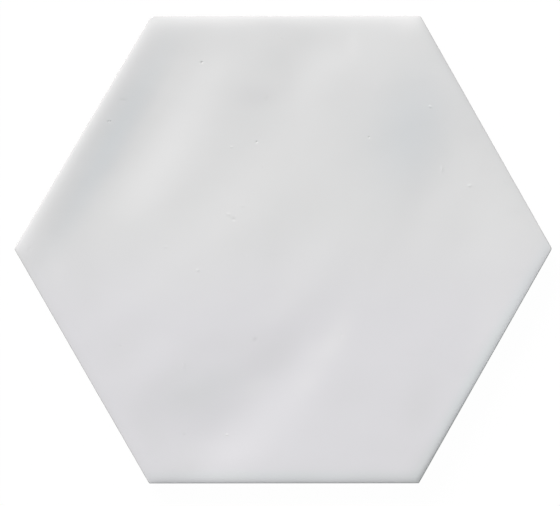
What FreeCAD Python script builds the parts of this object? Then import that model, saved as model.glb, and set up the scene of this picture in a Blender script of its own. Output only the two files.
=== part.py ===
"""Hexagon floor tile: one dry-pressed ceramic body with a glazed, hand-made looking face.

The tile lies on its bedding plane. The origin is the middle of that plane, +Z points out of the
glazed face, two opposite corners lie on the X axis and two flats face +Y and -Y.
"""

import FreeCAD, Part

import os
from math import cos, exp, hypot, pi, radians, sin, tan

from FreeCAD import Vector

# Outline and thickness, in millimetres
across_flats = 200.0
corner_radius = 0.8
thickness = 9.0

# Side, from the back up: a bevel, a drafted stretch that leaves the mould, and an upright land
bevel = 0.8
land_height = 3.0
land_setback = 0.6

# Soft edge between the land and the face: a gentle slope rolled into the face, and an arris
edge_drop = 0.6
edge_fall = 11.0
roll_radius = 10.0
arris_radius = 0.5
crown_corner_radius = 6.0

# Keying pattern of the back: shallow hexagonal cells between ribs
cell_across = 15.0
cell_depth = 0.7
cell_draft = 20.0
rib_width = 4.0
back_margin = 7.0

# Relief of the face. It ramps down to nothing at the rim, so that neighbouring tiles meet level.
relief_ramp = 20.0
relief_grid = 5.0

# Each swell is a long soft bump or, with a height under zero, a trough. Its middle, half length
# and half width are shares of the half width across the flats. Its heading is in degrees from
# +X and its height in millimetres.
swells = [
    # The broad hollow that the left half of the face lies in, and the low ridge inside the top rim
    {"middle": (-0.42, 0.18), "length": 0.70, "width": 0.60, "heading": 60.0, "height": -0.60},
    {"middle": (0.00, 0.66), "length": 0.60, "width": 0.24, "heading": 0.0, "height": 0.26},
    # The deep trough along the upper left side
    {"middle": (-0.79, 0.23), "length": 0.58, "width": 0.21, "heading": 60.0, "height": -0.66},
    {"middle": (-0.56, 0.52), "length": 0.34, "width": 0.14, "heading": 60.0, "height": -0.76},
    # The small valley at the top, and the bump and hollows to the right of it
    {"middle": (0.05, 0.78), "length": 0.24, "width": 0.12, "heading": 66.0, "height": -0.36},
    {"middle": (0.40, 0.68), "length": 0.28, "width": 0.18, "heading": 64.0, "height": 0.36},
    {"middle": (0.79, 0.31), "length": 0.34, "width": 0.26, "heading": 66.0, "height": -0.66},
    {"middle": (0.64, 0.38), "length": 0.26, "width": 0.14, "heading": 62.0, "height": -0.34},
    # The curved trough that climbs from the lower left towards the middle, and a bump at its end
    {"middle": (-0.25, -0.76), "length": 0.22, "width": 0.15, "heading": 34.0, "height": -0.70},
    {"middle": (0.00, -0.51), "length": 0.26, "width": 0.12, "heading": 49.0, "height": -0.50},
    {"middle": (-0.18, -0.60), "length": 0.35, "width": 0.26, "heading": 38.0, "height": -0.28},
    {"middle": (-0.58, -0.54), "length": 0.20, "width": 0.14, "heading": 25.0, "height": 0.30},
    # Faint ripples
    {"middle": (-0.34, 0.21), "length": 0.35, "width": 0.11, "heading": 45.0, "height": -0.13},
    {"middle": (-0.02, 0.28), "length": 0.34, "width": 0.14, "heading": 55.0, "height": 0.12},
    {"middle": (0.16, -0.08), "length": 0.22, "width": 0.10, "heading": 50.0, "height": 0.11},
    {"middle": (0.55, -0.55), "length": 0.16, "width": 0.12, "heading": 60.0, "height": 0.10},
    {"middle": (-0.74, -0.10), "length": 0.22, "width": 0.12, "heading": 62.0, "height": -0.20},
]

SIDES = 6
SECTOR = 360.0 / SIDES
HALF_SECTOR = SECTOR / 2

half_flats = across_flats / 2
rim_height = thickness - edge_drop
land_bottom = rim_height - land_height
slope_length = edge_drop / sin(radians(edge_fall))
arris_reach = arris_radius * tan(radians((90.0 - edge_fall) / 2))
widest_roll = (slope_length - arris_reach) / 2 / tan(radians(edge_fall / 2))

# The press dies stand clear of the blank by this much, so that every cut goes right through
clearance = 1.5


def bearing(angle, reach=1.0, height=0.0):
    """The point at this reach from the Z axis, in a direction given in degrees from +X."""
    return Vector(reach * cos(radians(angle)), reach * sin(radians(angle)), height)


def rounded_hexagon(apothem, radius, height):
    """The edges of a level hexagon with rounded corners, an arc and a line for each side."""
    centre_reach = (apothem - radius) / cos(radians(HALF_SECTOR))
    edges = []
    for side in range(SIDES):
        corner = SECTOR * side
        centre = bearing(corner, centre_reach, height)
        next_centre = bearing(corner + SECTOR, centre_reach, height)
        flat_direction = corner + HALF_SECTOR
        arc_start = centre + bearing(corner - HALF_SECTOR, radius)
        arc_middle = centre + bearing(corner, radius)
        arc_end = centre + bearing(flat_direction, radius)
        edges.append(Part.Arc(arc_start, arc_middle, arc_end).toShape())
        edges.append(Part.makeLine(arc_end, next_centre + bearing(flat_direction, radius)))
    return edges


def band(lower, upper):
    """The faces between two rounded hexagons: flat along the sides, ruled round the corners."""
    faces = []
    for low, high in zip(lower, upper):
        if isinstance(low.Curve, Part.Line):
            corners = [
                low.firstVertex().Point,
                low.lastVertex().Point,
                high.lastVertex().Point,
                high.firstVertex().Point,
            ]
            faces.append(Part.Face(Part.makePolygon(corners + corners[:1])))
        else:
            faces.append(Part.makeRuledSurface(low, high))
    return faces


def pressed_blank():
    """The body as the mould leaves it, with the edge slope running on past the face."""
    crown_rise = edge_drop + clearance
    crown_inset = crown_rise / tan(radians(edge_fall))
    rings = [
        rounded_hexagon(half_flats - land_setback - bevel, corner_radius, 0.0),
        rounded_hexagon(half_flats - land_setback, corner_radius, bevel),
        rounded_hexagon(half_flats, corner_radius, land_bottom),
        rounded_hexagon(half_flats, corner_radius, rim_height),
        rounded_hexagon(half_flats - crown_inset, crown_corner_radius, rim_height + crown_rise),
    ]
    faces = [Part.Face(Part.Wire(rings[0])), Part.Face(Part.Wire(rings[-1]))]
    for lower, upper in zip(rings, rings[1:]):
        faces += band(lower, upper)
    shell = Part.makeShell(faces)
    shell.sewShape()
    return Part.Solid(shell)


def ramp(x, y):
    """1 over the middle of the face, falling to 0 at the rim and turning over beyond it."""
    share = 1.0
    for side in range(SIDES):
        outward = bearing(SECTOR * side + HALF_SECTOR)
        inset = half_flats - (x * outward.x + y * outward.y)
        share *= sin(pi / 2 * min(max(inset / relief_ramp, -1.0), 1.0))
    return share


def relief(x, y):
    """Height of the face over its rim at a point of the tile."""
    height = 0.0
    for swell in swells:
        heading = bearing(swell["heading"])
        east = x - swell["middle"][0] * half_flats
        north = y - swell["middle"][1] * half_flats
        along = (east * heading.x + north * heading.y) / (swell["length"] * half_flats)
        across = (north * heading.x - east * heading.y) / (swell["width"] * half_flats)
        height += swell["height"] * exp(-(hypot(along, across) ** 2))
    return height * ramp(x, y)


def grid_line(reach):
    """Evenly spaced places from -reach to reach, no further apart than the relief grid."""
    count = 2 * int(reach / relief_grid + 1)
    return [reach * (2.0 * step / count - 1.0) for step in range(count + 1)]


def under_face():
    """Everything under the face, as the upper die leaves it."""
    columns = grid_line(half_flats / cos(radians(HALF_SECTOR)) + clearance)
    rows = grid_line(half_flats + clearance)
    face = Part.BSplineSurface()
    face.interpolate([[Vector(x, y, thickness + relief(x, y)) for y in rows] for x in columns])
    return face.toShape().extrude(Vector(0, 0, -2 * thickness))


def soften_edge(body):
    """Rolls the edge slope into the face, then rounds the arris over the land."""
    upper_faces = [face for face in body.Faces if face.CenterOfMass.z > thickness / 2]
    face = max(upper_faces, key=lambda candidate: candidate.Area)
    body = body.makeFillet(min(roll_radius, widest_roll), face.OuterWire.Edges)
    arris = [edge for edge in body.Edges if is_level_at(edge, rim_height)]
    return body.makeFillet(arris_radius, arris)


def is_level_at(edge, height):
    """Whether an edge lies in the level plane at this height."""
    ends = [vertex.Point.z for vertex in edge.Vertexes]
    middle = edge.valueAt((edge.FirstParameter + edge.LastParameter) / 2).z
    return all(abs(z - height) < 1e-4 for z in ends + [middle])


def cell_places():
    """Middles of the cells that keep the back margin, as a hexagonal field of full rings."""
    pitch = cell_across + rib_width
    cell_corner = cell_across / 2 / cos(radians(HALF_SECTOR))
    room = half_flats - land_setback - bevel - back_margin - cell_corner
    rings = int(room / (pitch * cos(radians(HALF_SECTOR))))
    places = []
    for column in range(-rings, rings + 1):
        for row in range(-rings, rings + 1):
            if abs(column + row) <= rings:
                places.append(bearing(0, pitch * column) + bearing(SECTOR, pitch * row))
    return places


def key_cell(place):
    """One shallow cell, narrower at its floor so that the tile leaves the press."""
    outlines = []
    for height in (-clearance, cell_depth):
        apothem = cell_across / 2 - height * tan(radians(cell_draft))
        reach = apothem / cos(radians(HALF_SECTOR))
        corners = [
            place + bearing(SECTOR * side + HALF_SECTOR, reach, height) for side in range(SIDES)
        ]
        outlines.append(Part.makePolygon(corners + corners[:1]))
    return flat_sided(outlines[0], outlines[1])


def flat_sided(lower, upper):
    """The solid with flat sides between two polygons of as many corners."""
    faces = [Part.Face(lower), Part.Face(upper)] + band(lower.Edges, upper.Edges)
    return Part.Solid(Part.makeShell(faces))


def hexagon_tile():
    """The finished tile."""
    body = pressed_blank().common(under_face()).Solids[0]
    body = soften_edge(body)
    return body.cut(Part.makeCompound([key_cell(place) for place in cell_places()])).Solids[0]


os.makedirs("parts", exist_ok=True)
hexagon_tile().exportStep("parts/hexagon_tile.step")
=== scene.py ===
"""Looks of the hexagon floor tile: its glazed face, its bare fired back and the studio round it.

Metres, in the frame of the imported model. The origin is the middle of the bedding plane, +Z points
out of the glazed face, and two opposite corners lie on the X axis.
"""

from math import cos, pi, radians, sin, sqrt, tan
from typing import NamedTuple

import bpy
import numpy as np
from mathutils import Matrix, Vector
from mathutils.geometry import delaunay_2d_cdt


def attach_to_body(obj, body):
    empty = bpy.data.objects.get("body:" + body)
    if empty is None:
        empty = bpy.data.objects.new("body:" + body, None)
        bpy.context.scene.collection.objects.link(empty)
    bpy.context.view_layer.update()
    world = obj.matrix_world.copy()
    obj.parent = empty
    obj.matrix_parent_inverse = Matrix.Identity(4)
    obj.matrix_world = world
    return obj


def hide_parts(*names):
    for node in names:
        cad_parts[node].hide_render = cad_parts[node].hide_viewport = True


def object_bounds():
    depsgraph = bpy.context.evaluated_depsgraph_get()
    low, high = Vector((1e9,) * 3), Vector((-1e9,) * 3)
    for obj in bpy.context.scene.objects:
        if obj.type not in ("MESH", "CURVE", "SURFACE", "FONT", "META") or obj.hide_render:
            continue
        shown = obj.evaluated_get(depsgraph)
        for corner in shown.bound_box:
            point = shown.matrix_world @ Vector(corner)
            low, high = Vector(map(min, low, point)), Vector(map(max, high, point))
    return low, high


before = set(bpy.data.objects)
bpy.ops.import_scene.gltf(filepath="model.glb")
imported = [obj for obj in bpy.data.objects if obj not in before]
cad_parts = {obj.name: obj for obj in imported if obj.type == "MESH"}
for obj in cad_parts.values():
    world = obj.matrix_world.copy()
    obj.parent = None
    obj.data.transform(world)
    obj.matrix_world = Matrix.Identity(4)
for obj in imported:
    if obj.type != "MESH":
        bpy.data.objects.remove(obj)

solid_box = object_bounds()

mm = 0.001
SIDES = 6
SECTOR = 2 * pi / SIDES
HALF_SECTOR = SECTOR / 2

# Outline, thickness and side, as the solid has them
half_flats = solid_box[1].y
thickness = 9.0 * mm
bevel = 0.8 * mm
land_bottom = 5.4 * mm
land_setback = 0.6 * mm

# This tile is a little out of true: how far each corner lies from its nominal place along X and
# Y, and how round it is, in millimetres, from the one on +X on
corner_drift = [(-0.83, 0.43), (0.62, 0.0), (1.03, -0.15), (0.16, 0.35), (0.10, 0.05), (0.0, 0.13)]
corner_radii = [1.3, 0.6, 2.2, 0.3, 0.4, 0.3]

# Soft edge of the glaze: the face falls away towards its rim and turns over a small arris. Each
# side, from the one at 30 degrees on, has its fall at either end and the distance over which it
# falls, in millimetres. At a corner two falls come to no more than the deepest.
rims = [
    (0.65, 0.65, 1.80),
    (0.93, 0.93, 2.60),
    (0.80, 0.80, 2.05),
    (0.65, 0.65, 1.80),
    (0.63, 0.65, 1.65),
    (0.70, 0.33, 1.25),
]
deepest_fall = 0.95
arris_reach = 0.36 * mm

# Keying pattern of the back
cell_across = 15.0 * mm
cell_depth = 0.7 * mm
cell_draft = radians(20.0)
cell_corner_radius = 1.0 * mm
rib_width = 4.0 * mm
cell_rings = 5

# Worn edges of the back and its cells: how far they reach, and, as shares of that, how far off
# the sharp edge they lie in their middle and on the wall of a cell
worn_edge = 0.15 * mm
worn_middle = 0.3
worn_end = 0.1

# Relief of the face, as the solid has it. Middles, half lengths and half widths are shares of the
# half width across the flats, headings are degrees from +X, and heights are millimetres.
relief_ramp = 20.0 * mm
swells = [
    # The broad hollow that the left half of the face lies in, and the low ridge inside the top rim
    {"middle": (-0.42, 0.18), "length": 0.70, "width": 0.60, "heading": 60.0, "height": -0.60},
    {"middle": (0.00, 0.66), "length": 0.60, "width": 0.24, "heading": 0.0, "height": 0.26},
    # The deep trough along the upper left side
    {"middle": (-0.79, 0.23), "length": 0.58, "width": 0.21, "heading": 60.0, "height": -0.66},
    {"middle": (-0.56, 0.52), "length": 0.34, "width": 0.14, "heading": 60.0, "height": -0.76},
    # The small valley at the top, and the bump and hollows to the right of it
    {"middle": (0.05, 0.78), "length": 0.24, "width": 0.12, "heading": 66.0, "height": -0.36},
    {"middle": (0.40, 0.68), "length": 0.28, "width": 0.18, "heading": 64.0, "height": 0.36},
    {"middle": (0.79, 0.31), "length": 0.34, "width": 0.26, "heading": 66.0, "height": -0.66},
    {"middle": (0.64, 0.38), "length": 0.26, "width": 0.14, "heading": 62.0, "height": -0.34},
    # The curved trough that climbs from the lower left towards the middle, and a bump at its end
    {"middle": (-0.25, -0.76), "length": 0.22, "width": 0.15, "heading": 34.0, "height": -0.70},
    {"middle": (0.00, -0.51), "length": 0.26, "width": 0.12, "heading": 49.0, "height": -0.50},
    {"middle": (-0.18, -0.60), "length": 0.35, "width": 0.26, "heading": 38.0, "height": -0.28},
    {"middle": (-0.58, -0.54), "length": 0.20, "width": 0.14, "heading": 25.0, "height": 0.30},
    # Faint ripples
    {"middle": (-0.34, 0.21), "length": 0.35, "width": 0.11, "heading": 45.0, "height": -0.13},
    {"middle": (-0.02, 0.28), "length": 0.34, "width": 0.14, "heading": 55.0, "height": 0.12},
    {"middle": (0.16, -0.08), "length": 0.22, "width": 0.10, "heading": 50.0, "height": 0.11},
    {"middle": (0.55, -0.55), "length": 0.16, "width": 0.12, "heading": 60.0, "height": 0.10},
    {"middle": (-0.74, -0.10), "length": 0.22, "width": 0.12, "heading": 62.0, "height": -0.20},
]

# Faint waviness of the glaze: length of its waves and how far they rise, in millimetres, how
# many waves there are of each, and between which shares of that length theirs lies
waviness = [(30.0, 0.020), (15.0, 0.010), (7.5, 0.004)]
waves_each = 14
wave_spread = (0.75, 1.35)
wave_seed = 11


class Blemish(NamedTuple):
    """A pit in the glaze or, with a depth under zero, a speck that stands up, in millimetres.

    Its length runs at a heading in degrees from +X. The last value is how much painted shade,
    near black and darker than the body it bares, lies in its middle.
    """

    east: float
    north: float
    half_width: float
    half_length: float
    heading: float
    depth: float
    painted_pit_shade: float


blemishes = [
    Blemish(-35.9, 80.2, 0.36, 0.42, 30, 0.205, 0.26),
    Blemish(-75.7, 54.8, 0.27, 0.34, 90, 0.120, 0.22),
    Blemish(-74.7, 54.8, 0.27, 0.34, 90, 0.135, 0.24),
    Blemish(-12.1, 46.1, 0.32, 0.38, 90, 0.190, 0.08),
    Blemish(36.1, 48.0, 0.34, 0.37, 0, 0.190, 0.03),
    Blemish(62.3, 61.0, 0.40, 0.60, -30, -0.105, 0.0),
    Blemish(-22.8, 43.9, 0.40, 0.50, 0, -0.080, 0.0),
    Blemish(-23.8, 15.1, 0.60, 0.90, -15, -0.095, 0.0),
    Blemish(-21.6, 13.0, 0.60, 0.80, -15, 0.120, 0.05),
    Blemish(67.8, 34.2, 0.34, 1.20, 90, -0.105, 0.0),
    Blemish(79.8, 27.1, 0.48, 0.90, 20, -0.090, 0.0),
    Blemish(-36.8, -8.9, 0.60, 0.60, 0, -0.115, 0.0),
    Blemish(-12.4, -38.5, 0.80, 1.00, 60, 0.065, 0.08),
    Blemish(-24.4, -79.2, 0.36, 0.46, 0, -0.100, 0.0),
    Blemish(-42.5, -79.3, 0.60, 0.70, 0, 0.045, 0.02),
    Blemish(-70.1, -41.4, 0.60, 0.70, 0, 0.060, 0.02),
    Blemish(-42.9, -49.4, 0.50, 1.30, 90, -0.085, 0.0),
    Blemish(-69.2, 63.9, 0.62, 1.60, 0, 0.045, 0.045),
    Blemish(-7.8, 64.8, 0.60, 1.00, 45, 0.045, 0.03),
    Blemish(-50.4, 1.0, 0.50, 0.90, 10, -0.060, 0.0),
    Blemish(-109.0, -0.2, 0.60, 1.80, 42, 0.032, 0.01),
    Blemish(24.9, -36.4, 0.50, 0.50, 0, 0.080, 0.0),
    Blemish(-17.8, 18.7, 0.60, 0.60, 0, -0.060, 0.01),
    Blemish(-9.1, 35.7, 0.35, 0.70, 90, -0.050, 0.0),
    Blemish(-1.7, 90.0, 0.50, 0.50, 0, 0.050, 0.0),
    Blemish(62.6, -43.9, 0.60, 0.60, 0, 0.035, 0.0),
    Blemish(55.3, -45.2, 0.60, 0.60, 0, 0.035, 0.0),
]

# Painted shade and painted light on the glaze: patches that are a little darker or, with a
# strength under zero, lighter, where the relief is shaded or lit, placed as the swells are
painted_shade_and_light = [
    # Darker: painted shade
    {"middle": (0.56, 0.50), "length": 0.20, "width": 0.14, "heading": 70.0, "strength": 0.030},
    {"middle": (0.60, 0.28), "length": 0.16, "width": 0.09, "heading": 70.0, "strength": 0.024},
    {"middle": (0.74, 0.12), "length": 0.20, "width": 0.09, "heading": 80.0, "strength": 0.024},
    {"middle": (0.82, 0.48), "length": 0.12, "width": 0.06, "heading": 120.0, "strength": 0.030},
    {"middle": (-0.11, 0.66), "length": 0.10, "width": 0.05, "heading": 0.0, "strength": 0.035},
    {"middle": (0.01, 0.74), "length": 0.10, "width": 0.05, "heading": 90.0, "strength": 0.015},
    {"middle": (-0.70, -0.43), "length": 0.14, "width": 0.09, "heading": 70.0, "strength": 0.028},
    {"middle": (-0.38, -0.62), "length": 0.16, "width": 0.07, "heading": 25.0, "strength": 0.035},
    {"middle": (-0.60, -0.75), "length": 0.12, "width": 0.06, "heading": 130.0, "strength": 0.022},
    {"middle": (-0.20, -0.39), "length": 0.26, "width": 0.06, "heading": 5.0, "strength": 0.018},
    {"middle": (0.58, -0.66), "length": 0.14, "width": 0.08, "heading": 75.0, "strength": 0.028},
    {"middle": (-0.63, 0.80), "length": 0.20, "width": 0.06, "heading": 60.0, "strength": 0.036},
    {"middle": (-0.76, 0.35), "length": 0.22, "width": 0.06, "heading": 60.0, "strength": 0.028},
    {"middle": (-0.88, 0.25), "length": 0.16, "width": 0.06, "heading": 60.0, "strength": 0.020},
    {"middle": (0.27, -0.62), "length": 0.16, "width": 0.12, "heading": 60.0, "strength": 0.012},
    {"middle": (-0.42, -0.94), "length": 0.08, "width": 0.05, "heading": 0.0, "strength": 0.030},
    {"middle": (-0.98, 0.09), "length": 0.16, "width": 0.05, "heading": 60.0, "strength": 0.020},
    {"middle": (0.42, -0.99), "length": 0.16, "width": 0.05, "heading": 0.0, "strength": 0.045},
    {"middle": (-0.05, 0.97), "length": 0.09, "width": 0.04, "heading": 0.0, "strength": 0.024},
    {"middle": (-0.50, -0.975), "length": 0.07, "width": 0.03, "heading": 0.0, "strength": 0.024},
    {"middle": (0.06, -0.97), "length": 0.14, "width": 0.035, "heading": 0.0, "strength": 0.020},
    {"middle": (0.715, 0.745), "length": 0.22, "width": 0.02, "heading": 120.0, "strength": 0.014},
    {"middle": (-1.10, -0.05), "length": 0.08, "width": 0.05, "heading": 120.0, "strength": 0.020},
    {"middle": (-0.825, 0.475), "length": 0.45, "width": 0.03, "heading": 60.0, "strength": 0.012},
    {"middle": (-0.54, 0.58), "length": 0.16, "width": 0.03, "heading": 60.0, "strength": 0.010},
    {"middle": (-0.60, -0.30), "length": 0.10, "width": 0.06, "heading": 60.0, "strength": 0.010},
    {"middle": (-0.56, -0.85), "length": 0.08, "width": 0.07, "heading": 60.0, "strength": 0.009},
    {"middle": (-0.32, -0.92), "length": 0.12, "width": 0.05, "heading": 0.0, "strength": 0.007},
    {"middle": (0.68, 0.40), "length": 0.06, "width": 0.05, "heading": 60.0, "strength": 0.009},
    {"middle": (0.63, -0.90), "length": 0.26, "width": 0.007, "heading": 60.0, "strength": 0.080},
    {"middle": (0.0, -0.993), "length": 0.60, "width": 0.006, "heading": 0.0, "strength": 0.035},
    {"middle": (0.56, -0.993), "length": 0.06, "width": 0.007, "heading": 0.0, "strength": 0.060},
    {"middle": (0.59, -0.962), "length": 0.07, "width": 0.007, "heading": 60.0, "strength": 0.060},
    {"middle": (0.67, 0.83), "length": 0.22, "width": 0.010, "heading": 120.0, "strength": 0.022},
    {"middle": (-0.69, 0.02), "length": 0.14, "width": 0.12, "heading": 60.0, "strength": 0.014},
    {"middle": (-0.85, -0.12), "length": 0.26, "width": 0.08, "heading": 100.0, "strength": 0.018},
    {"middle": (-0.05, -0.48), "length": 0.16, "width": 0.08, "heading": 30.0, "strength": 0.018},
    {"middle": (0.53, 0.10), "length": 0.18, "width": 0.06, "heading": 75.0, "strength": 0.016},
    {"middle": (0.66, 0.84), "length": 0.34, "width": 0.08, "heading": 120.0, "strength": 0.005},
    {"middle": (-0.76, 0.56), "length": 0.16, "width": 0.04, "heading": 60.0, "strength": 0.016},
    {"middle": (-0.04, 0.02), "length": 0.20, "width": 0.06, "heading": 80.0, "strength": 0.012},
    {"middle": (-0.40, -0.86), "length": 0.10, "width": 0.05, "heading": 0.0, "strength": 0.014},
    {"middle": (-0.50, -0.56), "length": 0.16, "width": 0.05, "heading": 40.0, "strength": 0.022},
    {"middle": (-0.22, 0.67), "length": 0.10, "width": 0.10, "heading": 60.0, "strength": 0.016},
    {"middle": (0.25, 0.64), "length": 0.12, "width": 0.09, "heading": 60.0, "strength": 0.016},
    {"middle": (0.50, 0.69), "length": 0.18, "width": 0.05, "heading": 15.0, "strength": 0.015},
    {"middle": (0.44, 0.02), "length": 0.20, "width": 0.04, "heading": 70.0, "strength": 0.014},
    {"middle": (0.48, -0.86), "length": 0.10, "width": 0.05, "heading": 0.0, "strength": 0.014},
    {"middle": (0.60, -0.90), "length": 0.14, "width": 0.04, "heading": 60.0, "strength": 0.035},
    # Lighter: painted light
    {"middle": (-0.42, 0.58), "length": 0.34, "width": 0.12, "heading": 62.0, "strength": -0.028},
    {"middle": (-0.52, 0.67), "length": 0.14, "width": 0.05, "heading": 60.0, "strength": -0.034},
    {"middle": (-0.62, 0.24), "length": 0.14, "width": 0.08, "heading": 60.0, "strength": -0.018},
    {"middle": (-0.33, 0.84), "length": 0.14, "width": 0.10, "heading": 60.0, "strength": -0.014},
    {"middle": (-0.12, 0.32), "length": 0.20, "width": 0.12, "heading": 40.0, "strength": -0.022},
    {"middle": (0.13, 0.44), "length": 0.18, "width": 0.12, "heading": 70.0, "strength": -0.020},
    {"middle": (0.20, 0.79), "length": 0.14, "width": 0.06, "heading": 30.0, "strength": -0.020},
    {"middle": (0.22, -0.38), "length": 0.12, "width": 0.05, "heading": 60.0, "strength": -0.035},
    {"middle": (-0.30, 0.02), "length": 0.24, "width": 0.12, "heading": 60.0, "strength": -0.018},
    {"middle": (-0.52, -0.12), "length": 0.22, "width": 0.10, "heading": 60.0, "strength": -0.016},
    {"middle": (-0.98, -0.06), "length": 0.10, "width": 0.04, "heading": 100.0, "strength": -0.018},
    {"middle": (0.83, 0.42), "length": 0.08, "width": 0.05, "heading": 60.0, "strength": -0.016},
    {"middle": (0.85, -0.02), "length": 0.12, "width": 0.08, "heading": 20.0, "strength": -0.012},
    {"middle": (0.29, 0.88), "length": 0.06, "width": 0.03, "heading": 90.0, "strength": -0.024},
    {"middle": (-0.35, 0.98), "length": 0.20, "width": 0.03, "heading": 0.0, "strength": -0.030},
    {"middle": (0.53, 0.97), "length": 0.06, "width": 0.05, "heading": 0.0, "strength": -0.040},
    {"middle": (0.90, -0.40), "length": 0.16, "width": 0.04, "heading": 60.0, "strength": -0.016},
    {"middle": (-0.24, -0.975), "length": 0.12, "width": 0.03, "heading": 0.0, "strength": -0.028},
    {"middle": (-0.74, 0.425), "length": 0.42, "width": 0.03, "heading": 60.0, "strength": -0.015},
    {"middle": (0.84, -0.39), "length": 0.14, "width": 0.03, "heading": 60.0, "strength": -0.010},
    {"middle": (-0.30, 0.76), "length": 0.08, "width": 0.05, "heading": 60.0, "strength": -0.009},
    {"middle": (0.02, 0.86), "length": 0.08, "width": 0.05, "heading": 90.0, "strength": -0.009},
    {"middle": (1.10, 0.08), "length": 0.12, "width": 0.012, "heading": 120.0, "strength": -0.028},
    {"middle": (-0.52, -0.40), "length": 0.06, "width": 0.05, "heading": 60.0, "strength": -0.008},
    {"middle": (-0.76, -0.53), "length": 0.24, "width": 0.06, "heading": 120.0, "strength": -0.008},
    {"middle": (0.12, -0.42), "length": 0.08, "width": 0.06, "heading": 0.0, "strength": -0.016},
    {"middle": (-0.34, 0.32), "length": 0.16, "width": 0.10, "heading": 60.0, "strength": -0.012},
    {"middle": (0.66, -0.73), "length": 0.12, "width": 0.04, "heading": 60.0, "strength": -0.016},
    {"middle": (0.04, -0.18), "length": 0.24, "width": 0.08, "heading": 50.0, "strength": -0.016},
    {"middle": (-0.12, -0.58), "length": 0.08, "width": 0.05, "heading": 30.0, "strength": -0.030},
    {"middle": (0.10, -0.57), "length": 0.08, "width": 0.05, "heading": 40.0, "strength": -0.020},
    {"middle": (0.90, -0.22), "length": 0.20, "width": 0.08, "heading": 70.0, "strength": -0.015},
    # Painted highlights: glints of three specks, and a fine light line inside the bottom rim
    {"middle": (-0.244, -0.79), "length": 0.005, "width": 0.004, "heading": 0.0, "strength": -0.07},
    {"middle": (-0.228, 0.441), "length": 0.005, "width": 0.004, "heading": 0.0, "strength": -0.04},
    {"middle": (0.621, 0.613), "length": 0.005, "width": 0.004, "heading": 0.0, "strength": -0.04},
    {"middle": (0.22, -0.987), "length": 0.50, "width": 0.004, "heading": 0.0, "strength": -0.030},
]

# Patches of painted cool tint on the glaze where shade falls, placed in the same way
painted_cool_shade_patches = [
    {"middle": (-0.745, 0.451), "length": 0.42, "width": 0.060, "heading": 61.0, "strength": 0.17},
    {"middle": (0.54, 0.51), "length": 0.24, "width": 0.150, "heading": 75.0, "strength": 0.14},
    {"middle": (0.847, -0.489), "length": 0.62, "width": 0.027, "heading": 60.0, "strength": 0.24},
    {"middle": (0.0, -0.968), "length": 0.70, "width": 0.022, "heading": 0.0, "strength": 0.18},
    {"middle": (-0.36, -0.60), "length": 0.16, "width": 0.080, "heading": 20.0, "strength": 0.05},
]

# How far in from the rim the glaze is a little thinner
rim_reach = 2.5 * mm

# Glaze on the side: how thick it is, how high its lower edge lies, how high the bead on that edge
# is, and how the edge wanders, as lobes round the tile and their height
glaze_thickness = 0.15 * mm
glaze_line = 4.9 * mm
glaze_bead = 0.4 * mm
glaze_wander = [(5, 0.22 * mm), (11, 0.20 * mm), (23, 0.16 * mm), (47, 0.10 * mm), (89, 0.06 * mm)]
wander_seed = 7

# Mesh of the outline: points along each side and near its ends, the share of a side that lies near
# each end, and how much rounder a corner is for each millimetre that a ring lies further in
side_points = 144
corner_points = 4
corner_share = 0.02
corner_growth = 0.5

# Mesh of the rim and side: rings from the lattice to the arris, over the arris and round the bead,
# and the places of the other rings, as shares of the glazed and of the bare stretch
rim_count = 12
arris_count = 6
bead_count = 4
glazed_places = (0.3, 0.65, 1.0)
bare_places = (0.05, 0.35, 0.7, 0.95)

# Mesh of the face: step of its lattice, how far in from the rim it starts, and, in steps, the room
# that its points keep from there and from the rings of each blemish, and these rings from there
face_step = 1.1 * mm
lattice_inset = 3.0 * mm
rim_room = 0.6
blemish_room = 0.4
ring_room = 0.2

# Mesh of a blemish: how far its rings reach and how far apart they are, in half widths and half
# lengths, and the points of each ring. A point is left out where another blemish is nearer to it
# by more than the rounding.
blemish_reach = 2.6
blemish_step = 0.35
blemish_points = 16
rounding = 1e-6

# Mesh of the back: points round each keying cell
cell_points = 36

# While points are joined up, the sides bow out by this share, and points as near as this would
# merge. Afterwards points are welded that round to the same place.
outline_bow = 0.03
merge_reach = 1e-8
weld_reach = 0.001 * mm


def ring_angles():
    """Angles of one turn, from a corner on the X axis: even along the sides, close at corners."""
    near = 1.0 - corner_share * 2
    along = np.concatenate([
        np.linspace(-1.0, -near, corner_points, endpoint=False),
        np.linspace(-near, near, side_points, endpoint=False),
        np.linspace(near, 1.0, corner_points, endpoint=False),
    ])
    within_side = np.arctan(along * tan(HALF_SECTOR))
    return np.concatenate([within_side + HALF_SECTOR + SECTOR * side for side in range(SIDES)])


def hexagon_reach(angles, apothem, radius, side_direction=HALF_SECTOR):
    """How far a rounded hexagon reaches from its middle, at each angle."""
    off = np.abs((angles - side_direction + HALF_SECTOR) % SECTOR - HALF_SECTOR)
    straight = apothem / np.cos(off)
    centre = (apothem - radius) / cos(HALF_SECTOR)
    past = HALF_SECTOR - off
    room = np.maximum(radius ** 2 - (centre * np.sin(past)) ** 2, 0.0)
    arc = centre * np.cos(past) + np.sqrt(room)
    on_arc = apothem * np.tan(off) > (apothem - radius) * tan(HALF_SECTOR)
    return np.where(on_arc, arc, straight)


def outline_reach(angles, inset):
    """How far the tile reaches at each angle, drawn in by this much, its corners rounder."""
    nearest = np.round(angles / SECTOR).astype(int) % SIDES
    radius = np.array(corner_radii)[nearest] * mm + corner_growth * inset
    return hexagon_reach(angles, half_flats - inset, radius)


def at_reach(angles, reach, middle=(0.0, 0.0)):
    """Points in plan at each angle and reach from a middle."""
    return np.column_stack([middle[0] + reach * np.cos(angles), middle[1] + reach * np.sin(angles)])


def insets(plan):
    """Distance of each point from the line of each of the six sides, as one row for a side."""
    directions = HALF_SECTOR + SECTOR * np.arange(SIDES)
    outward = np.stack([np.cos(directions), np.sin(directions)])
    return half_flats - (plan @ outward).T


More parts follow.
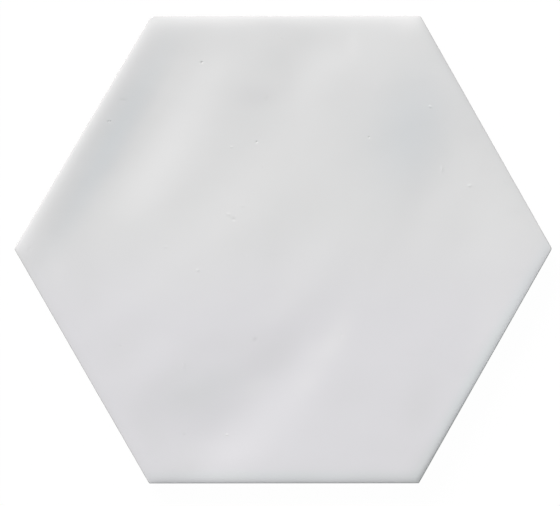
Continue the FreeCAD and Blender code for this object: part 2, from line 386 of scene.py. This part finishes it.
def is_within(plan, inset):
    """Whether each point lies inside the outline drawn in by this much, its corners rounder."""
    angles = np.arctan2(plan[:, 1], plan[:, 0])
    return np.hypot(plan[:, 0], plan[:, 1]) < outline_reach(angles, inset)


def swell_share(plan, swell):
    """How much of a swell or patch is felt at each point: 1 in its middle, fading all round."""
    heading = radians(swell["heading"])
    east = plan[:, 0] - swell["middle"][0] * half_flats
    north = plan[:, 1] - swell["middle"][1] * half_flats
    along = (east * cos(heading) + north * sin(heading)) / (swell["length"] * half_flats)
    across = (north * cos(heading) - east * sin(heading)) / (swell["width"] * half_flats)
    return np.exp(-(along ** 2 + across ** 2))


def relief(plan):
    """The undulation that the solid has, over its rim."""
    height = sum(swell["height"] * mm * swell_share(plan, swell) for swell in swells)
    ramps = np.sin(pi / 2 * np.clip(insets(plan) / relief_ramp, -1.0, 1.0))
    return height * ramps.prod(axis=0)


def rolled_edge(plan):
    """How far the face has fallen away towards its rim."""
    level = np.ones(len(plan))
    for side, inset in enumerate(insets(plan)):
        first, last, softness = rims[side]
        direction = HALF_SECTOR + SECTOR * side
        along = plan @ (-sin(direction), cos(direction)) / (half_flats * tan(HALF_SECTOR))
        fall = first + (last - first) * np.clip(0.5 + 0.5 * along, 0.0, 1.0)
        level *= 1.0 - fall / deepest_fall * np.exp(-inset / (softness * mm))
    return deepest_fall * mm * (1.0 - level)


def waves(plan):
    """Faint waviness of the glaze, summed from seeded waves that run every way."""
    draws = np.random.default_rng(wave_seed)
    height = np.zeros(len(plan))
    for length, rise in waviness:
        for _ in range(waves_each):
            heading, phase = draws.uniform(0.0, 2 * pi, 2)
            wave = length * mm * draws.uniform(*wave_spread)
            turns = plan @ (cos(heading), sin(heading)) / wave
            height += rise * mm / sqrt(waves_each) * np.sin(2 * pi * turns + phase)
    return height


def blemish_axes(blemish):
    """Middle of a blemish, and its half length and half width as vectors."""
    heading = radians(blemish.heading)
    along = np.array([cos(heading), sin(heading)])
    across = np.array([-along[1], along[0]])
    middle = np.array([blemish.east, blemish.north]) * mm
    return middle, along * blemish.half_length * mm, across * blemish.half_width * mm


def blemish_distance(plan, blemish):
    """Distance of each point from the middle of a blemish, in its half lengths and half widths."""
    middle, along, across = blemish_axes(blemish)
    apart = plan - middle
    return np.hypot(apart @ along / (along @ along), apart @ across / (across @ across))


def blemish_share(plan, blemish):
    """How much of a blemish is felt at each point: 1 in its middle, fading all round."""
    return np.exp(-blemish_distance(plan, blemish) ** 2)


def blemish_depth(plan):
    """Depth of the blemishes at each point."""
    return sum(blemish.depth * mm * blemish_share(plan, blemish) for blemish in blemishes)


def painted_pit_shade(plan):
    """Share of painted shade, near black, in the middle of the pits at each point."""
    return sum(blemish.painted_pit_shade * blemish_share(plan, blemish) for blemish in blemishes)


def face_height(plan):
    """Height of the glazed face."""
    return thickness + relief(plan) + waves(plan) - rolled_edge(plan) - blemish_depth(plan)


def lattice_points():
    """A triangular lattice in plan, under the whole face."""
    row_step = face_step * sin(SECTOR)
    rows = int(half_flats / row_step)
    columns = int(half_flats / cos(HALF_SECTOR) / face_step)
    row, column = np.meshgrid(np.arange(-rows, rows + 1), np.arange(-columns, columns + 1))
    east = (column + 0.5 * (row % 2)) * face_step
    north = row * row_step
    return np.column_stack([east.ravel(), north.ravel()])


def blemish_rings(blemish):
    """Points in plan on rings round a blemish, without those that another one is nearer to."""
    middle, along, across = blemish_axes(blemish)
    points = []
    for place, share in enumerate(np.arange(0.0, blemish_reach, blemish_step)):
        count = blemish_points if place else 1
        turns = 2 * pi * (np.arange(count) + 0.5 * (place % 2)) / blemish_points
        ring = middle + share * (np.outer(np.cos(turns), along) + np.outer(np.sin(turns), across))
        nearest = np.min([blemish_distance(ring, other) for other in blemishes], axis=0)
        is_own = nearest > share - rounding
        points.append(ring[is_own & is_within(ring, lattice_inset + ring_room * face_step)])
    return np.concatenate(points)


def face_points():
    """Plan of the face inside its rolled edge: a triangular lattice, closer at each blemish."""
    lattice = lattice_points()
    lattice = lattice[is_within(lattice, lattice_inset + rim_room * face_step)]
    for blemish in blemishes:
        reach = blemish_reach + blemish_room * face_step / (blemish.half_width * mm)
        lattice = lattice[blemish_distance(lattice, blemish) > reach]
    return np.concatenate([blemish_rings(blemish) for blemish in blemishes] + [lattice])


def triangulated(plan, loops):
    """Triangles over points in plan that keep the edges of each loop, given as first and count.

    The points are drawn in a little, the far ones most, so that the straight sides bow outward
    and their points make no flat triangle with each other.
    """
    edges = []
    for first, count in loops:
        edges += [(first + step, first + (step + 1) % count) for step in range(count)]
    drawn_in = 1.0 - outline_bow * (plan ** 2).sum(axis=1) / half_flats ** 2
    corners = [Vector(point) for point in plan * drawn_in[:, None]]
    kept, _, faces, _, _, _ = delaunay_2d_cdt(corners, edges, [], 0, merge_reach, False)
    assert len(kept) == len(corners)
    return np.array(faces)


def side_profile(height):
    """How far the side stands in from the land at each height, as the solid has it."""
    return np.interp(height, [0.0, bevel, land_bottom], [land_setback + bevel, land_setback, 0.0])


def glaze_edge(angles):
    """Height of the wandering lower edge of the glaze round the tile."""
    draws = np.random.default_rng(wander_seed)
    height = np.full(len(angles), glaze_line)
    for lobes, size in glaze_wander:
        height += size * np.sin(lobes * angles + draws.uniform(0.0, 2 * pi))
    return height


def rim_rings(angles):
    """Rings of the soft edge of the face, from the lattice out and over the arris."""
    steps = np.geomspace(lattice_inset, arris_reach, rim_count)
    rings = []
    for inset in steps:
        plan = at_reach(angles, outline_reach(angles, inset))
        rings.append(np.column_stack([plan, face_height(plan)]))
    start = rings[-1][:, 2]
    lean = np.arctan((rings[-2][:, 2] - start) / (steps[-2] - steps[-1]))
    radius = arris_reach / (1.0 - np.sin(lean))
    for turned in np.linspace(0.0, 1.0, arris_count + 1)[1:]:
        tilt = lean + turned * (pi / 2 - lean)
        plan = at_reach(angles, outline_reach(angles, radius * (1.0 - np.sin(tilt))))
        height = start - radius * (np.cos(lean) - np.cos(tilt))
        rings.append(np.column_stack([plan, height]))
    return rings


def wall_ring(angles, height, cover):
    """A ring of the side at a height for each angle, under this share of the glaze's thickness."""
    setback = side_profile(height) + glaze_thickness * (1.0 - cover)
    return np.column_stack([at_reach(angles, outline_reach(angles, setback)), height])


def glazed_wall(angles, top):
    """Rings of the glazed side, from the arris to the bead at the glaze's lower edge."""
    bead_top = glaze_edge(angles) + glaze_bead
    rings = []
    for share in glazed_places:
        rings.append(wall_ring(angles, top + share * (bead_top - top), 1.0))
    for turn in np.linspace(0.0, pi / 2, bead_count + 1)[1:]:
        rings.append(wall_ring(angles, bead_top - glaze_bead * sin(turn), cos(turn)))
    return rings


def bare_wall(angles):
    """Rings of the unglazed side, down to the bedding plane."""
    top = glaze_edge(angles)
    rings = []
    for share in bare_places:
        rings.append(wall_ring(angles, top + share * (bevel + worn_edge - top), 0.0))
    for height in (bevel, bevel - worn_edge, worn_edge, worn_middle * worn_edge, 0.0):
        rings.append(wall_ring(angles, np.full(len(angles), height), 0.0))
    return rings


def cell_middles():
    """Middles of the keying cells, a hexagonal field of full rings."""
    pitch = cell_across + rib_width
    middles = []
    for column in range(-cell_rings, cell_rings + 1):
        for row in range(-cell_rings, cell_rings + 1):
            if abs(column + row) <= cell_rings:
                middles.append((pitch * (column + row / 2), pitch * row * sin(SECTOR)))
    return middles


def cell_loops():
    """Loops of one keying cell: apothem and height, over the worn edge and down to the floor."""
    top = cell_across / 2
    floor = top - cell_depth * tan(cell_draft)
    return [
        (top + worn_edge, 0.0),
        (top + worn_middle * worn_edge, worn_middle * worn_edge),
        (top - worn_end * worn_edge, worn_edge),
        (floor + worn_end * worn_edge, cell_depth - worn_edge),
        (floor - worn_middle * worn_edge, cell_depth - worn_middle * worn_edge),
        (floor - worn_edge, cell_depth),
    ]


def back_surface(outer):
    """Points and triangles of the back inside its outermost ring."""
    turns = np.arange(cell_points) * 2 * pi / cell_points
    points = [outer]
    loops = [(0, len(outer))]
    count = len(outer)
    for middle in cell_middles():
        for apothem, height in cell_loops():
            plan = at_reach(turns, hexagon_reach(turns, apothem, cell_corner_radius, 0.0), middle)
            points.append(np.column_stack([plan, np.full(len(turns), height)]))
            loops.append((count, len(turns)))
            count += len(turns)
        points.append(np.array([[middle[0], middle[1], cell_depth]]))
        count += 1
    points = np.concatenate(points)
    return points, triangulated(points[:, :2], loops)


def strip(first, count):
    """Two triangles between each pair of points of two rings that follow each other."""
    here = np.arange(count)
    after = (here + 1) % count
    upper, lower = first, first + count
    return np.concatenate([
        np.column_stack([upper + here, lower + here, lower + after]),
        np.column_stack([upper + here, lower + after, upper + after]),
    ])


def tile_mesh():
    """The whole tile as one closed mesh, and the number of its first unglazed triangle."""
    angles = ring_angles()
    glazed_rings = rim_rings(angles)
    glazed_rings += glazed_wall(angles, glazed_rings[-1][:, 2])
    rings = glazed_rings + bare_wall(angles)

    lattice = face_points()
    face = np.concatenate([rings[0], np.column_stack([lattice, face_height(lattice)])])
    triangles = [triangulated(face[:, :2], [(0, len(angles))])]
    for place in range(len(rings) - 1):
        triangles.append(strip(len(face) + place * len(angles), len(angles)))
    bare_from = sum(len(part) for part in triangles[:len(glazed_rings)])

    back, back_triangles = back_surface(rings[-1])
    triangles.append(back_triangles[:, ::-1] + len(face) + len(rings) * len(angles))
    points = np.concatenate([face] + rings + [back])
    return points, np.concatenate(triangles), bare_from


def patch_strength(plan, patches):
    """Strength of all the patches together at each point."""
    return sum(patch["strength"] * swell_share(plan, patch) for patch in patches)


def drifted(points):
    """The points moved with the corners of the outline, less towards the middle.

    Each point lies in the triangle of the middle and two corners, and moves with each of these
    corners by its share of that triangle.
    """
    turns = (np.arctan2(points[:, 1], points[:, 0]) % (2 * pi)) / SECTOR
    first = np.minimum(turns.astype(int), SIDES - 1)
    second = (first + 1) % SIDES
    corner_reach = half_flats / cos(HALF_SECTOR)
    corners = corner_reach * np.array([(cos(SECTOR * k), sin(SECTOR * k)) for k in range(SIDES)])
    drift = np.array(corner_drift) * mm
    area = corner_reach ** 2 * sin(SECTOR)
    first_share = (points[:, 0] * corners[second, 1] - points[:, 1] * corners[second, 0]) / area
    second_share = (points[:, 1] * corners[first, 0] - points[:, 0] * corners[first, 1]) / area
    moved = points.copy()
    moved[:, :2] += first_share[:, None] * drift[first] + second_share[:, None] * drift[second]
    return moved


def welded(points, triangles):
    """The same triangles with points at one place made one."""
    keys = np.round(points / weld_reach).astype(np.int64)
    _, first, same = np.unique(keys, axis=0, return_index=True, return_inverse=True)
    return points[first], same.reshape(-1)[triangles]


def attach(mesh, name, values):
    """Gives each point of a mesh a value, which the materials read by this name."""
    attribute = mesh.attributes.new(name, "FLOAT", "POINT")
    attribute.data.foreach_set("value", values.astype(np.float32))


def make_tile():
    """The tile as one piece with two finishes."""
    points, triangles, bare_from = tile_mesh()
    points, triangles = welded(points, triangles)
    mesh = bpy.data.meshes.new("glazed_tile")
    mesh.from_pydata(drifted(points).tolist(), [], triangles.tolist())
    mesh.materials.append(glaze_material())
    mesh.materials.append(body_material())
    finish = (np.arange(len(triangles)) >= bare_from).astype(np.int32)
    mesh.polygons.foreach_set("material_index", finish)
    mesh.polygons.foreach_set("use_smooth", np.ones(len(triangles), bool))
    plan = points[:, :2]
    on_face = points[:, 2] > thickness / 2
    # Painted shade and painted light on the glaze
    attach(mesh, "painted_shading", patch_strength(plan, painted_shade_and_light))
    # Painted cool tint where shade falls
    attach(mesh, "painted_cool_shade", patch_strength(plan, painted_cool_shade_patches))
    # Painted shade in the pits
    attach(mesh, "painted_pit_shade", np.where(on_face, painted_pit_shade(plan), 0.0))
    attach(mesh, "rim", np.exp(-insets(plan).min(axis=0) / rim_reach))
    mesh.update()
    tile = bpy.data.objects.new("glazed_tile", mesh)
    bpy.context.scene.collection.objects.link(tile)
    return tile


class Nodes:
    """Short calls for making and joining the nodes of a material or world."""

    def __init__(self, tree):
        self.tree = tree
        tree.nodes.clear()

    def add(self, kind, *values, settings=None, **named_values):
        """A node with its inputs set or joined, in turn or by name, where _ stands for a space."""
        node = self.tree.nodes.new(kind)
        for name, setting in (settings or {}).items():
            setattr(node, name, setting)
        for place, value in enumerate(values):
            self.put(node.inputs[place], value)
        for name, value in named_values.items():
            self.put(node.inputs[name.replace("_", " ")], value)
        return node

    def put(self, socket, value):
        """Sets a socket, or joins it to another node's output."""
        if isinstance(value, bpy.types.NodeSocket):
            self.tree.links.new(value, socket)
        else:
            socket.default_value = value

    def read(self, name):
        """The value that each point has by this name."""
        return self.add("ShaderNodeAttribute", settings={"attribute_name": name}).outputs["Fac"]

    def math(self, operation, first, second, clamped=False):
        """Two values joined by this operation, held between 0 and 1 if clamped."""
        settings = {"operation": operation, "use_clamp": clamped}
        return self.add("ShaderNodeMath", first, second, settings=settings).outputs[0]

    def mixed(self, share, first, second):
        """Two colours mixed by a share."""
        node = self.add("ShaderNodeMix", share, settings={"data_type": "RGBA"})
        self.put(node.inputs[6], first)
        self.put(node.inputs[7], second)
        return node.outputs[2]

    def mixed_shaders(self, share, first, second):
        """Two shaders mixed by a share."""
        return self.add("ShaderNodeMixShader", share, first, second).outputs[0]

    def ranged(self, value, low, high, to_low=0.0, to_high=1.0):
        """A value taken smoothly from one range to another, held at both ends."""
        return self.add(
            "ShaderNodeMapRange", settings={"interpolation_type": "SMOOTHSTEP"},
            Value=value, From_Min=low, From_Max=high, To_Min=to_low, To_Max=to_high,
        ).outputs[0]

    def noise(self, place, wave, detail, roughness):
        """Noise with waves of about this length, in metres."""
        return self.add(
            "ShaderNodeTexNoise",
            Vector=place, Scale=1.0 / wave, Detail=detail, Roughness=roughness,
        ).outputs[0]

    def bump(self, height, distance, **normal):
        """A normal that follows a height, where 1 stands for this distance."""
        return self.add(
            "ShaderNodeBump", Height=height, Distance=distance, Strength=1.0, **normal
        ).outputs[0]


def new_material(name):
    """A material without nodes, and the calls that add them."""
    material = bpy.data.materials.new(name)
    material.use_nodes = True
    return material, Nodes(material.node_tree)


# Glaze. Colours are linear. Its white and its painted cool tint of shade are not quite the
# same on the lower and the upper part of the face, and change between these two places on Y.
lower_white = (0.688, 0.682, 0.705, 1.0)
upper_white = (0.693, 0.6945, 0.696, 1.0)
lower_shade_tint = (0.600, 0.712, 0.690, 1.0)
upper_shade_tint = (0.605, 0.705, 0.782, 1.0)
change_from = -40 * mm
change_to = 20 * mm

# Patches of painted shade and painted light: a strength of 0.1 is the whole colour
painted_shade_glaze = (0.618, 0.617, 0.624, 1.0)
painted_light_glaze = (0.770, 0.766, 0.768, 1.0)
patch_gain = 10.0

# At the rim the glaze is a little greyer, and thin over the arris. A pinhole bares the body,
# and its middle is painted shade, near black.
rim_grey = (0.28, 0.28, 0.28, 1.0)
rim_grey_share = 0.04
arris_colour = (0.535, 0.53, 0.525, 1.0)
arris_from = 0.8
pit_shade_colour = (0.05, 0.045, 0.04, 1.0)

# Gloss of the glaze, and its orange peel: the length of their noise, and the roughness and the
# height that it stands for. A span is the part of the noise that goes from none to all.
gloss_wave = 9 * mm
gloss_span = (0.3, 0.7)
glaze_roughness = (0.07, 0.11)
peel_wave = 3.0 * mm
peel_height = 0.0015 * mm


def glaze_material():
    """Glossy white glaze, thin at the arris, with painted shade, light and cool tint in patches."""
    material, nodes = new_material("white_glaze")
    place = nodes.add("ShaderNodeTexCoord").outputs["Object"]
    north = nodes.add("ShaderNodeSeparateXYZ", Vector=place).outputs["Y"]
    upper = nodes.ranged(north, change_from, change_to)
    painted_shading = nodes.read("painted_shading")
    rim = nodes.read("rim")

    colour = nodes.mixed(upper, lower_white, upper_white)
    # Painted shade, then painted light, from the patches
    darker = nodes.math("MULTIPLY", painted_shading, patch_gain, clamped=True)
    colour = nodes.mixed(darker, colour, painted_shade_glaze)
    lighter = nodes.math("MULTIPLY", painted_shading, -patch_gain, clamped=True)
    colour = nodes.mixed(lighter, colour, painted_light_glaze)
    # Painted cool tint where shade falls
    shade_tint = nodes.mixed(upper, lower_shade_tint, upper_shade_tint)
    colour = nodes.mixed(nodes.read("painted_cool_shade"), colour, shade_tint)
    greyer = nodes.ranged(rim, 0.0, 1.0, to_high=rim_grey_share)
    colour = nodes.mixed(greyer, colour, rim_grey)
    colour = nodes.mixed(nodes.ranged(rim, arris_from, 1.0), colour, arris_colour)
    # Painted shade, near black, in the pits
    colour = nodes.mixed(nodes.read("painted_pit_shade"), colour, pit_shade_colour)

    uneven = nodes.noise(place, gloss_wave, detail=3.0, roughness=0.5)
    rough = nodes.ranged(uneven, *gloss_span, *glaze_roughness)
    peel = nodes.bump(nodes.noise(place, peel_wave, detail=3.0, roughness=0.6), peel_height)
    shader = nodes.add(
        "ShaderNodeBsdfPrincipled", Base_Color=colour, Roughness=rough, IOR=1.5, Normal=peel
    )
    nodes.add("ShaderNodeOutputMaterial", Surface=shader.outputs[0])
    return material


# Bare body, with linear colours and spans as for the glaze: its clouds
darker_cloud = (0.45, 0.42, 0.375, 1.0)
lighter_cloud = (0.49, 0.465, 0.425, 1.0)
cloud_wave = 45 * mm
cloud_span = (0.35, 0.65)

# Its dark grains, which make it more or less rough as well, and its coarser unevenness
grain_colour = (0.33, 0.29, 0.24, 1.0)
grain_share = 0.35
grain_wave = 0.9 * mm
grain_span = (0.25, 0.5)
grain_depth = 0.03 * mm
rough_span = (0.3, 0.7)
body_roughness = (0.82, 0.95)
coarse_wave = 2.5 * mm
coarse_depth = 0.05 * mm

# The dusty wash on its ribs: none over the first of these heights, and all under the second
wash_colour = (0.58, 0.57, 0.545, 1.0)
wash_share = 0.7
wash_wave = 12 * mm
wash_span = (0.38, 0.60)
rib_heights = (0.35 * cell_depth, 0.05 * cell_depth)


def body_material():
    """Bare fired body: a pale warm grey, grainy and matt, with dusty wash on its ribs."""
    material, nodes = new_material("fired_body")
    place = nodes.add("ShaderNodeTexCoord").outputs["Object"]
    height = nodes.add("ShaderNodeSeparateXYZ", Vector=place).outputs["Z"]
    grain = nodes.noise(place, grain_wave, detail=4.0, roughness=0.7)

    clouds = nodes.noise(place, cloud_wave, detail=4.0, roughness=0.6)
    colour = nodes.mixed(nodes.ranged(clouds, *cloud_span), darker_cloud, lighter_cloud)
    grainy = nodes.ranged(grain, *grain_span, to_low=grain_share, to_high=0.0)
    colour = nodes.mixed(grainy, colour, grain_colour)
    dust = nodes.noise(place, wash_wave, detail=5.0, roughness=0.65)
    on_rib = nodes.ranged(height, *rib_heights)
    washed = nodes.math("MULTIPLY", on_rib, nodes.ranged(dust, *wash_span))
    washed = nodes.ranged(washed, 0.0, 1.0, to_high=wash_share)
    colour = nodes.mixed(washed, colour, wash_colour)

    coarse = nodes.bump(nodes.noise(place, coarse_wave, detail=5.0, roughness=0.65), coarse_depth)
    fine = nodes.bump(grain, grain_depth, Normal=coarse)
    rough = nodes.ranged(grain, *rough_span, *body_roughness)
    shader = nodes.add("ShaderNodeBsdfPrincipled", Base_Color=colour, Roughness=rough, Normal=fine)
    nodes.add("ShaderNodeOutputMaterial", Surface=shader.outputs[0])
    return material


# Studio. Light from the key is this share of what a level surface gets; the rest comes evenly
# from all round, a little cool, and ends just under the horizon. Light from below, more of it
# from one side, is for the back.
key_azimuth = radians(120.0)
key_zenith = radians(63.4)
key_share = 0.65
key_softness = radians(30.0)
key_colour = (1.03, 1.0, 0.995)
fill_colour = (0.945, 1.0, 1.01, 1.0)
fill_end = -0.02
under_light = 1.0
under_slant = 0.6
white = (1.0, 1.0, 1.0, 1.0)

# Floor: where it is seen it shows the light that falls on it by this share only, so that a shadow
# on it is faint, and it is fully white wherever this much of the full light falls on it
floor_size = 6.0
floor_sunk = 0.02 * mm
floor_opening = 98.0 * mm
floor_colour = (0.55, 0.55, 0.55, 1.0)
floor_shade = 0.02
floor_white_from = 0.8


def shows_background(nodes):
    """1 for the rays that show the background: seen, reflected or passed on."""
    rays = nodes.add("ShaderNodeLightPath").outputs
    reflected = nodes.math("MAXIMUM", rays["Is Camera Ray"], rays["Is Glossy Ray"])
    return nodes.math("MAXIMUM", reflected, rays["Is Transmission Ray"])


def floor_material():
    """A pale floor that shows white, with the faint shadow of the tile."""
    material, nodes = new_material("pale_floor")
    pale = nodes.add("ShaderNodeBsdfDiffuse", Color=floor_colour)
    glow = nodes.add("ShaderNodeEmission", Strength=1.0 - floor_shade * floor_white_from)
    shade = nodes.add("ShaderNodeBsdfDiffuse", Color=(floor_shade,) * 3 + (1.0,))
    shown = nodes.add("ShaderNodeAddShader", glow.outputs[0], shade.outputs[0])
    surface = nodes.mixed_shaders(shows_background(nodes), pale.outputs[0], shown.outputs[0])
    nodes.add("ShaderNodeOutputMaterial", Surface=surface)
    return material


def make_floor():
    """Level floor, open under the tile so that the light from below reaches the back."""
    corners = []
    for reach in (floor_size / 2, floor_opening / cos(HALF_SECTOR)):
        for side in range(SIDES):
            corners.append((reach * cos(SECTOR * side), reach * sin(SECTOR * side), -floor_sunk))
    faces = []
    for side in range(SIDES):
        after = (side + 1) % SIDES
        faces.append((side, after, SIDES + after, SIDES + side))
    mesh = bpy.data.meshes.new("floor")
    mesh.from_pydata(corners, [], faces)
    mesh.materials.append(floor_material())
    floor = bpy.data.objects.new("floor", mesh)
    bpy.context.scene.collection.objects.link(floor)


def make_world():
    """White where it is seen; elsewhere an even soft fill above, and light for the back below."""
    world = bpy.data.worlds.new("studio")
    world.use_nodes = True
    nodes = Nodes(world.node_tree)
    direction = nodes.add("ShaderNodeTexCoord").outputs["Generated"]
    direction = nodes.add("ShaderNodeSeparateXYZ", Vector=direction).outputs
    above = nodes.ranged(direction["Z"], fill_end, 0.0)
    brighter, darker = under_light * (1.0 + under_slant), under_light * (1.0 - under_slant)
    below = nodes.ranged(direction["X"], -1.0, 1.0, brighter, darker)
    over = nodes.add("ShaderNodeBackground", Color=fill_colour, Strength=1.0 - key_share)
    under = nodes.add("ShaderNodeBackground", Color=white, Strength=below)
    fill = nodes.mixed_shaders(above, under.outputs[0], over.outputs[0])
    seen = nodes.add("ShaderNodeBackground", Color=white, Strength=1.0)
    surface = nodes.mixed_shaders(shows_background(nodes), fill, seen.outputs[0])
    nodes.add("ShaderNodeOutputWorld", Surface=surface)
    bpy.context.scene.world = world


def make_key():
    """One large soft key light, far off to the upper left."""
    lamp = bpy.data.lights.new("key", "SUN")
    lamp.angle = key_softness
    lamp.energy = key_share * pi / cos(key_zenith)
    lamp.color = key_colour
    key = bpy.data.objects.new("key", lamp)
    towards = Vector((
        sin(key_zenith) * cos(key_azimuth),
        sin(key_zenith) * sin(key_azimuth),
        cos(key_zenith),
    ))
    key.rotation_euler = towards.to_track_quat("Z", "Y").to_euler()
    bpy.context.scene.collection.objects.link(key)


# Camera: straight over the tile with a long lens. The photograph is 560 pixels wide.
photo_width = 560
pixel_size = 0.4272 * mm
camera_middle = (-1.66 * mm, -1.42 * mm)
lens = 200.0
sensor_width = 36.0


def make_camera():
    """A camera that looks straight down, with +Y up in the picture."""
    settings = bpy.data.cameras.new("camera")
    settings.lens = lens
    settings.sensor_width = sensor_width
    camera = bpy.data.objects.new("camera", settings)
    distance = lens / sensor_width * photo_width * pixel_size
    camera.location = (camera_middle[0], camera_middle[1], thickness + distance)
    bpy.context.scene.collection.objects.link(camera)
    bpy.context.scene.camera = camera


make_camera()
make_key()
make_world()
make_floor()
tile = make_tile()
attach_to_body(tile, "root")
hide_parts("hexagon_tile")
bpy.context.scene.view_settings.view_transform = "Standard"
